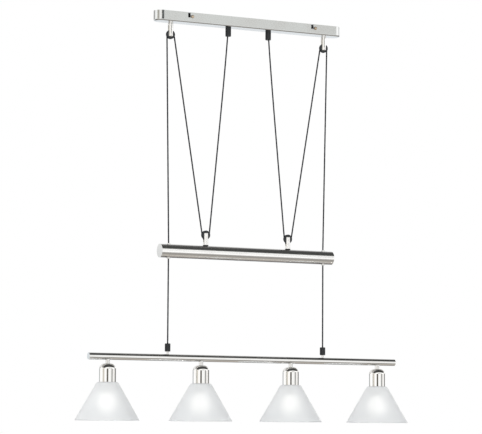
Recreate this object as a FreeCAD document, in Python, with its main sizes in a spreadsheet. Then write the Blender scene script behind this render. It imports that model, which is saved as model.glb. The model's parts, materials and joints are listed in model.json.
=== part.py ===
"""A rise and fall pendant: four glass shades on a bar, hung on two cords from a ceiling canopy.

Each cord leaves a grip under the canopy, goes down round a pulley on the counterweight, up over a pulley
under the canopy, down through the counterweight and ends at a grip on the lamp bar. So the lamps sink two
millimetres for each one that the counterweight rises. Sizes are in millimetres. The origin is the centre of
the canopy on the ceiling, +Z is up, and +X runs along the bar.
"""

import FreeCAD
import Part
import math
import os
import re

import Sketcher

from FreeCAD import Placement, Rotation, Vector

SIZES = {
    # The canopy on the ceiling
    "canopy_length": (490.0, "canopy, end to end"),
    "canopy_width": (35.0, "canopy, front to back; its ends are half round"),
    "canopy_height": (24.0, "canopy, ceiling to underside"),
    "canopy_wall": (1.2, "sheet of the canopy"),
    "canopy_edge": (3.0, "rounding of the canopy's lower edge"),
    "notch_spread": (163.0, "each notch's mouth, from the middle"),
    "notch_mouth": (6.0, "width of a notch's mouth"),
    "notch_branch": (5.0, "height of a notch's side branch"),
    "notch_shift": (8.5, "how far the canopy slides along the screws"),
    "notch_depth": (9.8, "side screws, below the ceiling"),
    # The bracket inside it
    "bracket_length": (380.0, "bracket, end to end"),
    "bracket_sheet": (1.5, "sheet of the bracket"),
    "bracket_gap": (0.1, "bracket to the canopy's walls"),
    "slot_spacing": (220.0, "ceiling screw slots, middle to middle"),
    "slot_width": (5.0, "width of a ceiling screw slot"),
    "slot_length": (15.0, "length of a ceiling screw slot"),
    "entry_place": (30.0, "hole for the supply cable, from the middle"),
    "entry_radius": (6.0, "hole for the supply cable"),
    "tab_width": (10.0, "tab that takes a side screw"),
    "tab_height": (15.0, "tab, below the bracket"),
    "side_screw_radius": (2.0, "side screw"),
    "side_screw_length": (6.0, "side screw, under its head"),
    "side_head_radius": (3.9, "head of a side screw"),
    "side_head_height": (2.2, "head of a side screw"),
    "side_head_round": (1.7, "rounding of a side screw's head"),
    "thread_play": (0.05, "between a thread and its hole"),
    "terminal_length": (18.0, "terminal block, along the wires"),
    "terminal_width": (27.0, "terminal block, across its poles"),
    "terminal_height": (13.0, "terminal block"),
    "pole_pitch": (9.0, "from pole to pole"),
    "pole_radius": (1.6, "bore of a pole"),
    "pole_screw_radius": (1.7, "screw well of a pole"),
    "earth_place": (32.0, "earth screw, from the middle"),
    "earth_radius": (2.0, "earth screw"),
    "earth_head_radius": (3.6, "head of the earth screw"),
    "earth_head_height": (2.6, "head of the earth screw"),
    "core_radius": (1.0, "one insulated wire"),
    "core_gap": (0.8, "middle of the earth wire's end to its screw's head"),
    "core_spread": (2.6, "two wires where they leave the cord, middle to middle"),
    # Cords, pulleys and forks
    "cord_radius": (1.5, "suspension cord, which is also the lamps' cable"),
    "cord_seam": (0.05, "between a cord's leaning stretch and its upright one"),
    "cord_spread": (203.0, "ceiling pulleys, cord guides and bar grips, from the middle"),
    "grip_spread": (53.0, "canopy grips, from the middle"),
    "weight_pulley_spread": (108.0, "pulleys on the counterweight, from the middle"),
    "pulley_pitch": (9.0, "radius of the cord's middle on a pulley"),
    "pulley_radius": (10.5, "outside of a pulley"),
    "pulley_width": (5.6, "width of a pulley"),
    "groove_floor": (2.7, "width of the groove's floor"),
    "groove_mouth": (4.6, "width of the groove at the rim"),
    "groove_gap": (0.3, "groove's floor to the cord"),
    "axle_radius": (2.0, "pulley axle"),
    "axle_play": (0.05, "pulley's bore round its axle"),
    "fork_radius": (6.0, "round bar that a fork is cut from"),
    "fork_slot": (6.0, "slot that the pulley turns in"),
    "fork_tip": (5.0, "fork beyond its axle"),
    "fork_neck": (8.0, "height of a fork that isn't slotted"),
    "fork_round": (1.5, "rounding of a fork's tip"),
    "axle_short": (0.8, "axle shorter than the fork is wide"),
    "fork_drop": (29.5, "ceiling pulley's axle, below the canopy"),
    "fork_rise": (25.0, "weight pulley's axle, above the counterweight"),
    "stud_radius": (4.0, "threaded end of a ceiling fork"),
    "stud_length": (8.0, "threaded end, above the canopy's floor"),
    "stud_nut_flats": (13.0, "nut of a ceiling fork, across its flats"),
    "stud_nut_height": (5.0, "nut of a ceiling fork"),
    "washer_radius": (6.6, "washer under a weight fork"),
    "washer_height": (1.5, "washer, above the counterweight's crest"),
    "anchor_radius": (3.0, "threaded end of a weight fork"),
    "anchor_length": (12.0, "threaded end, inside the ballast"),
    # Cord grips
    "grip_radius": (6.7, "canopy grip"),
    "grip_length": (21.5, "canopy grip, below the canopy"),
    "grip_chamfer": (0.8, "bevel at a grip's ends"),
    "grip_bore": (1.7, "radius of a grip's bore"),
    "rib_groove": (1.3, "width of the groove between two ribs"),
    "rib_depth": (0.5, "depth of the groove between two ribs"),
    "rib_margin": (2.2, "plain band at a grip's ends"),
    "grip_shank_radius": (5.0, "threaded end of a canopy grip"),
    "grip_shank_length": (7.0, "threaded end, above the canopy's floor"),
    "grip_nut_flats": (14.0, "nut of a canopy grip, across its flats"),
    "grip_nut_height": (4.0, "nut of a canopy grip"),
    "bar_grip_radius": (6.5, "grip on the lamp bar"),
    "bar_grip_length": (18.5, "grip on the lamp bar"),
    "bar_stem_radius": (2.8, "stem between the bar and its grip"),
    "bar_stem_height": (6.0, "stem, above the bar"),
    "bar_stem_seat": (4.0, "stem, inside its grip"),
    "bar_stem_root": (3.0, "stem, inside the bar"),
    # The counterweight
    "weight_depth": (559.0, "counterweight's axis, below the ceiling"),
    "weight_length": (451.0, "counterweight with its end discs"),
    "weight_radius": (16.0, "counterweight's tube"),
    "weight_wall": (1.5, "counterweight's tube"),
    "end_thickness": (2.0, "end disc"),
    "end_spigot": (6.0, "end disc, inside the tube"),
    "spigot_play": (0.1, "spigots inside their tubes"),
    "ballast_radius": (14.4, "solid bar inside the tube"),
    "ballast_gap": (0.6, "ballast to the cord guides"),
    "guide_radius": (3.2, "tube that the cord slides through"),
    "guide_bore": (2.5, "bore of that tube"),
    "bushing_radius": (4.1, "ferrule at each end of a guide"),
    "bushing_height": (2.0, "ferrule, beyond the counterweight"),
    "bushing_play": (0.05, "ferrule round its guide"),
    # The lamp bar
    "bar_depth": (805.0, "lamp bar's axis, below the ceiling"),
    "bar_length": (800.0, "lamp bar with its end caps"),
    "bar_radius": (8.0, "lamp bar"),
    "bar_wall": (1.0, "lamp bar"),
    "bar_cap": (1.5, "end cap of the bar"),
    "bar_plug": (5.0, "end cap, inside the bar"),
    "lamp_pitch": (235.0, "from lamp to lamp"),
    "stem_radius": (5.0, "collar between the bar and a lamp"),
    "stem_height": (8.0, "collar, below the bar"),
    "nipple_radius": (4.0, "threaded pipe through the collar"),
    "nipple_bore": (2.5, "bore of that pipe"),
    "nipple_root": (3.0, "threaded pipe, inside the bar"),
    "nipple_nut_flats": (12.0, "nut inside a lamp cap, across its flats"),
    "nipple_nut_height": (3.0, "nut inside a lamp cap"),
    "wire_radius": (1.5, "wires inside the bar and its stems"),
    # Lamps
    "cap_radius": (19.0, "bell cap over a lampholder"),
    "cap_height": (42.0, "bell cap"),
    "cap_round": (12.0, "shoulder of the bell cap"),
    "cap_wall": (0.8, "sheet of the bell cap"),
    "holder_radius": (13.0, "lampholder's body"),
    "holder_thread": (14.0, "lampholder's threaded skirt"),
    "holder_skirt": (6.0, "skirt, above the glass"),
    "holder_drop": (22.0, "skirt, below the cap's rim"),
    "holder_seat": (7.0, "pipe, inside the lampholder"),
    "socket_radius": (7.0, "lampholder's bore for the bulb"),
    "ring_radius": (18.0, "ring that holds the glass"),
    "ring_height": (5.0, "ring that holds the glass"),
    "shade_neck": (14.5, "hole in the top of a glass"),
    "shade_corner": (23.8, "cone and flat top would meet at this radius"),
    "shade_round": (8.0, "shoulder of a glass"),
    "shade_rim": (74.0, "glass at its open end"),
    "shade_height": (87.0, "glass"),
    "shade_wall": (2.4, "glass"),
    "shade_lip": (1.0, "rounding of the glass's lower edge"),
    "bulb_drop": (48.0, "bulb's middle, below the cap's rim"),
    "bulb_radius": (22.5, "bulb"),
    "bulb_neck": (6.9, "neck of a bulb"),
    "bulb_shoulder": (1.0, "neck of a bulb, above its round part"),
    "bulb_wall": (0.7, "glass of a bulb"),
    "base_radius": (6.7, "screw base of a bulb"),
    "base_length": (24.0, "screw base of a bulb"),
    "base_tip": (2.6, "contact of a bulb's base"),
    "base_taper": (3.0, "height of that contact"),
}
RIBS = 16
LAMPS = 4
SIDES = {"left": -1, "right": 1}
PAST = 1.0  # how far the tool of a cut reaches past the piece
BEND_SHARE = 0.45  # how much of its shorter run a bend of a wire takes
LIP_SHARE = 0.42  # largest rounding of a glass's lower edge, as a share of its wall

# Places that several pieces share
CANOPY_FLOOR = "(-canopy_height)"
CANOPY_INSIDE = "(canopy_wall - canopy_height)"
BRACKET_SIDE = "(canopy_width / 2 - canopy_wall - bracket_gap)"
WIRE_LEVEL = "(-bracket_sheet - terminal_height / 2)"
CEILING_AXLE = "(-canopy_height - fork_drop)"
WEIGHT_TOP = "(weight_radius - weight_depth)"
WEIGHT_AXLE = "(weight_radius - weight_depth + fork_rise)"
WEIGHT_BORE = "(weight_radius - weight_wall)"
BAR_TOP = "(bar_radius - bar_depth)"
BAR_BOTTOM = "(-bar_radius - bar_depth)"
BAR_BORE = "(bar_radius - bar_wall)"
BAR_GRIP_TOP = "(bar_radius - bar_depth + bar_stem_height + bar_grip_length)"
CAP_TOP = "(-bar_radius - bar_depth - stem_height)"
CAP_RIM = "(-bar_radius - bar_depth - stem_height - cap_height)"
NUT_DEPTH = "(cap_wall + nipple_nut_height)"
SHADE_SPREAD = "(shade_rim - shade_corner)"
NECK_HEIGHT = "(bulb_radius + bulb_shoulder)"

doc = FreeCAD.newDocument("rise_and_fall_pendant")
sheet = doc.addObject("Spreadsheet::Sheet", "sheet")
nodes = []


def fill_sheet():
    for row, (name, (value, meaning)) in enumerate(SIZES.items(), start=1):
        sheet.set(f"A{row}", name)
        sheet.set(f"B{row}", str(value))
        sheet.set(f"C{row}", meaning)
        sheet.setAlias(f"B{row}", name)
    doc.recompute()


# ---------------------------------------------------------------- formulas


def formula(text):
    """The text with each size's name turned into its cell in the sheet."""

    def cell(word):
        return "sheet." + word.group() if word.group() in SIZES else word.group()

    return re.sub(r"[a-z][a-z_]+", cell, str(text))


def size(text):
    """The number that a formula gives."""
    return float(sheet.evalExpression(formula(text)))


def bind(thing, **formulas):
    for name, text in formulas.items():
        thing.setExpression(name.replace("__", "."), formula(text))


def place(thing, x="0", y="0", z="0", turn=None):
    """Puts a piece at a point given by formulas, after a turn about an axis by so many degrees."""
    if turn:
        thing.Placement = Placement(Vector(), Rotation(*turn))
    bind(thing, Placement__Base__x=x, Placement__Base__y=y, Placement__Base__z=z)
    return thing


def node(thing, label):
    """Marks a piece as a sub-part, whose label names its file."""
    thing.Label = label
    nodes.append(thing)
    return thing


# ---------------------------------------------------------------- sketches


def sketch(body, role):
    drawing = body.newObject("Sketcher::SketchObject", "sketch")
    plane = next(item for item in body.Origin.OriginFeatures if item.Role == role)
    drawing.AttachmentSupport = [(plane, "")]
    drawing.MapMode = "FlatFace"
    return drawing


def pin_down(drawing, line, end, x, y, name):
    """Ties a point of the sketch to two formulas, or to an axis where a formula is 0."""
    for kind, text, axis in (("DistanceX", x, -2), ("DistanceY", y, -1)):
        if text == "0":
            drawing.addConstraint(Sketcher.Constraint("PointOnObject", line, end, axis))
            continue
        number = drawing.addConstraint(Sketcher.Constraint(kind, -1, 1, line, end, size(text)))
        drawing.renameConstraint(number, f"{kind}_{name}")
        drawing.setExpression(f"Constraints.{kind}_{name}", formula(text))


def set_radius(drawing, curve, text, name):
    number = drawing.addConstraint(Sketcher.Constraint("Radius", curve, size(text)))
    drawing.renameConstraint(number, f"radius_{name}")
    drawing.setExpression(f"Constraints.radius_{name}", formula(text))


def outline(body, role, corners):
    """A closed outline through corners (across, up), or (across, up, rounding), on a plane of the body."""
    drawing = sketch(body, role)
    count = len(corners)
    at = [Vector(size(corner[0]), size(corner[1]), 0) for corner in corners]
    ways = [(at[(i + 1) % count] - at[i]).normalize() for i in range(count)]
    starts, ends, arcs = list(at), list(at), {}
    for i, corner in enumerate(corners):
        if len(corner) == 3:
            radius = size(corner[2])
            turn = ways[i - 1].getAngle(ways[i])
            reach = radius * math.tan(turn / 2)
            starts[i] = at[i] + ways[i] * reach
            ends[i] = at[i] - ways[i - 1] * reach
            left = ways[i - 1].cross(ways[i]).z > 0
            side = Vector(-ways[i - 1].y, ways[i - 1].x, 0) * (1 if left else -1)
            arcs[i] = (ends[i] + side * radius, radius, left)
    for i in range(count):
        drawing.addGeometry(Part.LineSegment(starts[i], ends[(i + 1) % count]))
    for i, corner in enumerate(corners):
        before = (i - 1) % count
        if i not in arcs:
            drawing.addConstraint(Sketcher.Constraint("Coincident", before, 2, i, 1))
            pin_down(drawing, i, 1, corner[0], corner[1], str(i))
            continue
        centre, radius, left = arcs[i]
        first, last = (ends[i], starts[i]) if left else (starts[i], ends[i])
        angles = [math.atan2(point.y - centre.y, point.x - centre.x) for point in (first, last)]
        circle = Part.Circle(centre, Vector(0, 0, 1), radius)
        arc = drawing.addGeometry(Part.ArcOfCircle(circle, angles[0], angles[1]))
        point = drawing.addGeometry(Part.Point(at[i]), True)
        arc_start, arc_end = (1, 2) if left else (2, 1)
        drawing.addConstraint(Sketcher.Constraint("Tangent", before, 2, arc, arc_start))
        drawing.addConstraint(Sketcher.Constraint("Tangent", arc, arc_end, i, 1))
        drawing.addConstraint(Sketcher.Constraint("PointOnObject", point, 1, before))
        drawing.addConstraint(Sketcher.Constraint("PointOnObject", point, 1, i))
        set_radius(drawing, arc, corner[2], str(i))
        pin_down(drawing, point, 1, corner[0], corner[1], str(i))
    return drawing


def long_hole(body, length, width, x="0"):
    """A slot's outline on the XY plane, with half round ends on the X axis."""
    drawing = sketch(body, "XY_Plane")
    radius, middle, half = size(width) / 2, size(x), (size(length) - size(width)) / 2
    left, right = Vector(middle - half, 0, 0), Vector(middle + half, 0, 0)
    up, normal = Vector(0, radius, 0), Vector(0, 0, 1)
    drawing.addGeometry(Part.LineSegment(left - up, right - up))
    drawing.addGeometry(Part.ArcOfCircle(Part.Circle(right, normal, radius), -math.pi / 2, math.pi / 2))
    drawing.addGeometry(Part.LineSegment(right + up, left + up))
    drawing.addGeometry(Part.ArcOfCircle(Part.Circle(left, normal, radius), math.pi / 2, 3 * math.pi / 2))
    for i in range(4):
        drawing.addConstraint(Sketcher.Constraint("Tangent", i, 2, (i + 1) % 4, 1))
    drawing.addConstraint(Sketcher.Constraint("Equal", 1, 3))
    set_radius(drawing, 1, f"({width}) / 2", "end")
    pin_down(drawing, 1, 3, f"({x}) + ({length} - {width}) / 2", "0", "right")
    pin_down(drawing, 3, 3, f"({x}) - ({length} - {width}) / 2", "0", "left")
    return drawing


def circles(body, role, rounds):
    """Circles (across, up, radius) on one of the body's planes."""
    drawing = sketch(body, role)
    for i, (x, y, radius) in enumerate(rounds):
        middle = Vector(size(x), size(y), 0)
        circle = drawing.addGeometry(Part.Circle(middle, Vector(0, 0, 1), size(radius)))
        set_radius(drawing, circle, radius, str(i))
        pin_down(drawing, circle, 3, x, y, str(i))
    return drawing


# ---------------------------------------------------------------- features of a body


def new_body(name):
    return doc.addObject("PartDesign::Body", name)


def turned(name, corners, axis="V_Axis"):
    """A body turned from an outline on the XZ plane, about Z or, with H_Axis, about X."""
    body = new_body(name)
    drawing = outline(body, "XZ_Plane", corners)
    turn = body.newObject("PartDesign::Revolution", "turn")
    turn.Profile = drawing
    turn.ReferenceAxis = (drawing, [axis])
    turn.Angle = 360
    doc.recompute()
    return body


def pad(body, drawing, length, down=False, both=False):
    feature = body.newObject("PartDesign::Pad", "pad")
    feature.Profile = drawing
    feature.Reversed = down
    feature.SideType = "Symmetric" if both else "One side"
    bind(feature, Length=length)
    doc.recompute()
    return feature


def pocket(body, drawing, length=None, up=False, both=False):
    """A cut from the sketch's plane: against its normal, along it (up) or both ways, and right through
    where it has no length."""
    feature = body.newObject("PartDesign::Pocket", "pocket")
    feature.Profile = drawing
    feature.Reversed = up
    feature.SideType = "Symmetric" if both else "One side"
    feature.Type = "Length" if length else "ThroughAll"
    if length:
        bind(feature, Length=length)
    doc.recompute()
    return feature


def fillet(body, feature, radius, level):
    """Rounds the edges of a feature that lie at one height and touch only its outside or inside wall."""
    shape = feature.Shape
    flat = [
        f"Edge{i}"
        for i, edge in enumerate(shape.Edges, start=1)
        if all(abs(vertex.Z - size(level)) < 1e-4 for vertex in edge.Vertexes)
    ]
    rounding = body.newObject("PartDesign::Fillet", "fillet")
    rounding.Base = (feature, flat)
    bind(rounding, Radius=radius)
    doc.recompute()
    return rounding


# ---------------------------------------------------------------- primitives and booleans


def block(x, y, z, length, width, height):
    """A box with its middle at x and y, and its underside at z."""
    thing = doc.addObject("Part::Box", "block")
    bind(thing, Length=length, Width=width, Height=height)
    return place(thing, f"({x}) - ({length}) / 2", f"({y}) - ({width}) / 2", z)


def rod(x, y, z, radius, height):
    """An upright round rod that stands at a point."""
    thing = doc.addObject("Part::Cylinder", "rod")
    bind(thing, Radius=radius, Height=height)
    return place(thing, x, y, z)


def rod_along(axis, x, y, z, radius, length):
    """A round rod along X or Y, with its middle at a point."""
    thing = doc.addObject("Part::Cylinder", "rod")
    bind(thing, Radius=radius, Height=length)
    half = f"({length}) / 2"
    if axis == "X":
        return place(thing, f"({x}) - {half}", y, z, (Vector(0, 1, 0), 90))
    return place(thing, x, f"({y}) - {half}", z, (Vector(1, 0, 0), -90))


def drill(x, y, z, radius, height):
    """An upright rod for cutting a hole of that height, longer than it at both ends."""
    return rod(x, y, f"{z} - {PAST}", radius, f"{height} + {2 * PAST}")


def drill_along(axis, x, y, z, radius, length):
    """A rod along X or Y for cutting a hole of that length, longer than it at both ends."""
    return rod_along(axis, x, y, z, radius, f"{length} + {2 * PAST}")


def ball(x, y, z, radius):
    thing = doc.addObject("Part::Sphere", "ball")
    bind(thing, Radius=radius)
    return place(thing, x, y, z)


def nut(x, z, flats, height, bore):
    """A hexagonal nut that stands at a height, with its bore."""
    prism = doc.addObject("Part::Prism", "prism")
    prism.Polygon = 6
    bind(prism, Circumradius=f"{flats} / sqrt(3)", Height=height)
    place(prism, x, "0", z)
    return cut(prism, [drill(x, "0", z, bore, height)])


def fuse(things):
    joined = doc.addObject("Part::MultiFuse", "fuse")
    joined.Shapes = things
    return joined


def cut(base, tools):
    result = doc.addObject("Part::Cut", "cut")
    result.Base = base
    result.Tool = tools[0] if len(tools) == 1 else fuse(tools)
    return result


def group(label, things):
    """Equal pieces of one kind that share a node."""
    compound = doc.addObject("Part::Compound", "group")
    compound.Links = things
    return node(compound, label)


# ---------------------------------------------------------------- canopy and bracket


def canopy_shell():
    body = node(new_body("canopy"), "canopy_shell")
    solid = pad(body, long_hole(body, "canopy_length", "canopy_width"), "canopy_height", down=True)
    fillet(body, solid, "canopy_edge", CANOPY_FLOOR)
    inside = ["canopy_length - 2 * canopy_wall", "canopy_width - 2 * canopy_wall"]
    hollow = pocket(body, long_hole(body, *inside), "canopy_height - canopy_wall")
    fillet(body, hollow, "canopy_edge - canopy_wall", CANOPY_INSIDE)
    holes = [
        (f"{side} * {spread}", "0", f"{radius} + thread_play")
        for side in SIDES.values()
        for spread, radius in (("cord_spread", "stud_radius"), ("grip_spread", "grip_shank_radius"))
    ]
    pocket(body, circles(body, "XY_Plane", holes))
    for side in SIDES.values():
        notch(body, f"{side} * notch_spread")


def notch(body, mouth):
    """An L-shaped opening through the front and back walls. It drops over a side screw and slides along."""
    left, right = f"{mouth} - notch_mouth / 2", f"{mouth} + notch_mouth / 2"
    end = f"{mouth} + notch_shift + notch_branch / 2"
    low, high = "-notch_depth - notch_branch / 2", "-notch_depth + notch_branch / 2"
    corners = [(left, PAST), (left, low), (end, low), (end, high), (right, high), (right, PAST)]
    pocket(body, outline(body, "XZ_Plane", corners), both=True)


def screw_places():
    """The side screws, as formulas for their X and the side that they are on."""
    for end in SIDES.values():
        for side in SIDES.values():
            yield f"{end} * notch_spread + notch_shift", side


def mounting_bracket():
    pieces = [
        block("0", "0", "-bracket_sheet", "bracket_length", f"2 * {BRACKET_SIDE}", "bracket_sheet"),
    ]
    holes = [drill("-entry_place", "0", "-bracket_sheet", "entry_radius", "bracket_sheet")]
    holes.append(drill("earth_place", "0", "-bracket_sheet", "earth_radius + thread_play", "bracket_sheet"))
    for x, side in screw_places():
        middle = f"{side} * ({BRACKET_SIDE} - bracket_sheet / 2)"
        pieces.append(block(x, middle, "-bracket_sheet - tab_height", "tab_width", "bracket_sheet",
                            "tab_height + bracket_sheet / 2"))
        holes.append(drill_along("Y", x, middle, "-notch_depth", "side_screw_radius + thread_play",
                                 "bracket_sheet"))
    for side in SIDES.values():
        holes.append(long_slot(f"{side} * slot_spacing / 2"))
    node(cut(fuse(pieces), holes), "mounting_bracket")


def long_slot(x):
    """Cuts for one slot: a block between two rods."""
    straight = "(slot_length - slot_width)"
    low, high = f"-bracket_sheet - {PAST}", f"bracket_sheet + {2 * PAST}"
    return fuse([
        block(x, "0", low, straight, "slot_width", high),
        rod(f"{x} - {straight} / 2", "0", low, "slot_width / 2", high),
        rod(f"{x} + {straight} / 2", "0", low, "slot_width / 2", high),
    ])


def side_screws():
    corners = [
        ("0", "0"), ("side_screw_radius", "0"), ("side_screw_radius", "side_screw_length"),
        ("side_head_radius", "side_screw_length"),
        ("side_head_radius", "side_screw_length + side_head_height", "side_head_round"),
        ("0", "side_screw_length + side_head_height"),
    ]
    screws = []
    for x, side in screw_places():
        screw = turned("side_screw", corners)
        tip = f"{side} * (canopy_width / 2 - side_screw_length)"
        screws.append(place(screw, x, tip, "-notch_depth", (Vector(1, 0, 0), -90 * side)))
    group("bracket_side_screws", screws)


def terminal_block():
    base = block("0", "0", "-bracket_sheet - terminal_height", "terminal_length", "terminal_width",
                 "terminal_height")
    bores = []
    for pole in (-1, 0, 1):
        y = f"{pole} * pole_pitch"
        bores.append(drill_along("X", "0", y, WIRE_LEVEL, "pole_radius", "terminal_length"))
        for side in SIDES.values():
            bores.append(rod(
                f"{side} * terminal_length / 4", y, f"-bracket_sheet - terminal_height - {PAST}",
                "pole_screw_radius", f"terminal_height / 2 + {PAST}",
            ))
    node(cut(base, bores), "terminal_block")


def earth_screw():
    low = "-bracket_sheet - earth_head_height"
    head = rod("earth_place", "0", low, "earth_head_radius", "earth_head_height")
    shank = rod("earth_place", "0", low, "earth_radius", "bracket_sheet + earth_head_height")
    node(fuse([head, shank]), "earth_screw")


# ---------------------------------------------------------------- pulleys, forks and grips


def pulley(label, x, z):
    half, mouth, floor = "pulley_width / 2", "groove_mouth / 2", "groove_floor / 2"
    bottom = "pulley_pitch - cord_radius - groove_gap"
    bore = "axle_radius + axle_play"
    body = turned(label, [
        (bore, f"-{half}"), ("pulley_radius", f"-{half}"), ("pulley_radius", f"-{mouth}"),
        (bottom, f"-{floor}"), (bottom, floor), ("pulley_radius", mouth), ("pulley_radius", half),
        (bore, half),
    ])
    node(place(body, x, "0", z, (Vector(1, 0, 0), 90)), label)


def fork(name, corners, tip, bottom):
    """A turned bar, slotted across its end for a pulley, with a hole for the axle at its zero height."""
    body = turned(name, corners)
    edge = f"fork_radius + {PAST}"
    low, high = sorted((f"{tip} * (fork_tip + {PAST})", bottom), key=size)
    slot = [(f"-({edge})", low), (edge, low), (edge, high), (f"-({edge})", high)]
    pocket(body, outline(body, "XZ_Plane", slot), "fork_slot", both=True)
    pocket(body, circles(body, "XZ_Plane", [("0", "0", "axle_radius")]), both=True)
    return body


def ceiling_forks():
    nuts, pins = [], []
    stud_top = "fork_drop + canopy_wall + stud_length"
    corners = [
        ("0", "-fork_tip"), ("fork_radius", "-fork_tip", "fork_round"), ("fork_radius", "fork_drop"),
        ("stud_radius", "fork_drop"), ("stud_radius", stud_top), ("0", stud_top),
    ]
    for name, side in SIDES.items():
        x = f"{side} * cord_spread"
        body = fork(f"ceiling_fork_{name}", corners, -1, "fork_drop - fork_neck")
        node(place(body, x, "0", CEILING_AXLE), f"ceiling_fork_{name}")
        nuts.append(nut(x, CANOPY_INSIDE, "stud_nut_flats", "stud_nut_height", "stud_radius + thread_play"))
        pins.append(rod_along("Y", x, "0", CEILING_AXLE, "axle_radius", "2 * fork_radius - axle_short"))
        pulley(f"ceiling_pulley_{name}", x, CEILING_AXLE)
    group("ceiling_fork_nuts", nuts)
    group("ceiling_pulley_pins", pins)


def weight_forks():
    washers, pins = [], []
    foot = "(washer_height - fork_rise)"
    corners = [
        ("0", "fork_tip"), ("fork_radius", "fork_tip", "fork_round"), ("fork_radius", foot),
        ("anchor_radius", foot), ("anchor_radius", "-fork_rise - weight_wall - anchor_length"),
        ("0", "-fork_rise - weight_wall - anchor_length"),
    ]
    for name, side in SIDES.items():
        x = f"{side} * weight_pulley_spread"
        body = fork(f"weight_fork_{name}", corners, 1, "fork_neck - fork_rise")
        node(place(body, x, "0", WEIGHT_AXLE), f"weight_fork_{name}")
        low = f"{WEIGHT_TOP} - washer_height"
        ring = rod(x, "0", low, "washer_radius", "2 * washer_height")
        tube = rod_along("X", x, "0", "-weight_depth", "weight_radius", "4 * washer_radius")
        hole = drill(x, "0", low, "anchor_radius + thread_play", "2 * washer_height")
        washers.append(cut(ring, [tube, hole]))
        pins.append(rod_along("Y", x, "0", WEIGHT_AXLE, "axle_radius", "2 * fork_radius - axle_short"))
        pulley(f"weight_pulley_{name}", x, WEIGHT_AXLE)
    group("weight_fork_washers", washers)
    group("weight_pulley_pins", pins)


def ribbed(body, radius, low, high):
    """Cuts one groove down the side of a grip and repeats it all round."""
    half = "rib_groove / 2"
    inner, outer = f"{radius} - rib_depth", f"{radius} + {PAST}"
    corners = [(inner, f"-{half}"), (outer, f"-{half}"), (outer, half), (inner, half)]
    drawing = outline(body, "XY_Plane", corners)
    bind(drawing, AttachmentOffset__Base__z=low)
    groove = pocket(body, drawing, f"({high}) - ({low})", up=True)
    pattern = body.newObject("PartDesign::PolarPattern", "ribs")
    pattern.Originals = [groove]
    pattern.Axis = (next(item for item in body.Origin.OriginFeatures if item.Role == "Z_Axis"), [""])
    pattern.Angle = 360
    pattern.Occurrences = RIBS
    body.Tip = pattern
    doc.recompute()


def canopy_grips():
    nuts = []
    top = "canopy_wall + grip_shank_length"
    corners = [
        ("grip_bore", "-grip_length"), ("grip_radius - grip_chamfer", "-grip_length"),
        ("grip_radius", "grip_chamfer - grip_length"), ("grip_radius", "0"),
        ("grip_shank_radius", "0"), ("grip_shank_radius", top), ("grip_bore", top),
    ]
    for name, side in SIDES.items():
        x = f"{side} * grip_spread"
        body = turned(f"canopy_grip_{name}", corners)
        ribbed(body, "grip_radius", "rib_margin - grip_length", "-rib_margin")
        node(place(body, x, "0", CANOPY_FLOOR), f"canopy_grip_{name}")
        bore = "grip_shank_radius + thread_play"
        nuts.append(nut(x, CANOPY_INSIDE, "grip_nut_flats", "grip_nut_height", bore))
    group("canopy_grip_nuts", nuts)


def bar_grips():
    stems = []
    seat = "bar_stem_radius + thread_play"
    corners = [
        (seat, "0"), ("bar_grip_radius - grip_chamfer", "0"), ("bar_grip_radius", "grip_chamfer"),
        ("bar_grip_radius", "bar_grip_length - grip_chamfer"),
        ("bar_grip_radius - grip_chamfer", "bar_grip_length"), ("grip_bore", "bar_grip_length"),
        ("grip_bore", "bar_stem_seat"), (seat, "bar_stem_seat"),
    ]
    for name, side in SIDES.items():
        x = f"{side} * cord_spread"
        body = turned(f"bar_grip_{name}", corners)
        ribbed(body, "bar_grip_radius", "rib_margin", "bar_grip_length - rib_margin")
        node(place(body, x, "0", f"{BAR_TOP} + bar_stem_height"), f"bar_grip_{name}")
        low, high = f"{BAR_TOP} - bar_stem_root", "bar_stem_root + bar_stem_height + bar_stem_seat"
        stem = rod(x, "0", low, "bar_stem_radius", high)
        stems.append(cut(stem, [drill(x, "0", low, "grip_bore", high)]))
    group("bar_grip_stems", stems)


# ---------------------------------------------------------------- counterweight


def weight_tube():
    length = "weight_length - 2 * end_thickness"
    tools = [drill_along("X", "0", "0", "-weight_depth", WEIGHT_BORE, length)]
    for side in SIDES.values():
        x = f"{side} * cord_spread"
        tools.append(drill(x, "0", f"{WEIGHT_TOP} - 2 * weight_radius", "guide_radius + thread_play",
                           "2 * weight_radius"))
        x = f"{side} * weight_pulley_spread"
        tools.append(rod(x, "0", "-weight_depth", "anchor_radius + thread_play", f"weight_radius + {PAST}"))
    tube = rod_along("X", "0", "0", "-weight_depth", "weight_radius", length)
    node(cut(tube, tools), "weight_tube")


def weight_ends():
    for name, side in SIDES.items():
        inner = f"{WEIGHT_BORE} - spigot_play"
        body = turned(f"weight_end_{name}", [
            ("0", "0"), ("0", inner), ("end_spigot", inner), ("end_spigot", "weight_radius"),
            ("end_spigot + end_thickness", "weight_radius"), ("end_spigot + end_thickness", "0"),
        ], axis="H_Axis")
        x = f"{side} * (weight_length / 2 - end_thickness - end_spigot)"
        turn = (Vector(0, 0, 1), 0 if side > 0 else 180)
        node(place(body, x, "0", "-weight_depth", turn), f"weight_end_{name}")


def ballast_bar():
    base = rod_along("X", "0", "0", "-weight_depth", "ballast_radius",
                     "2 * (cord_spread - guide_radius - ballast_gap)")
    threads = [
        rod(f"{side} * weight_pulley_spread", "0", f"{WEIGHT_TOP} - weight_wall - anchor_length",
            "anchor_radius + thread_play", f"anchor_length + weight_wall + {PAST}")
        for side in SIDES.values()
    ]
    node(cut(base, threads), "ballast_bar")


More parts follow.
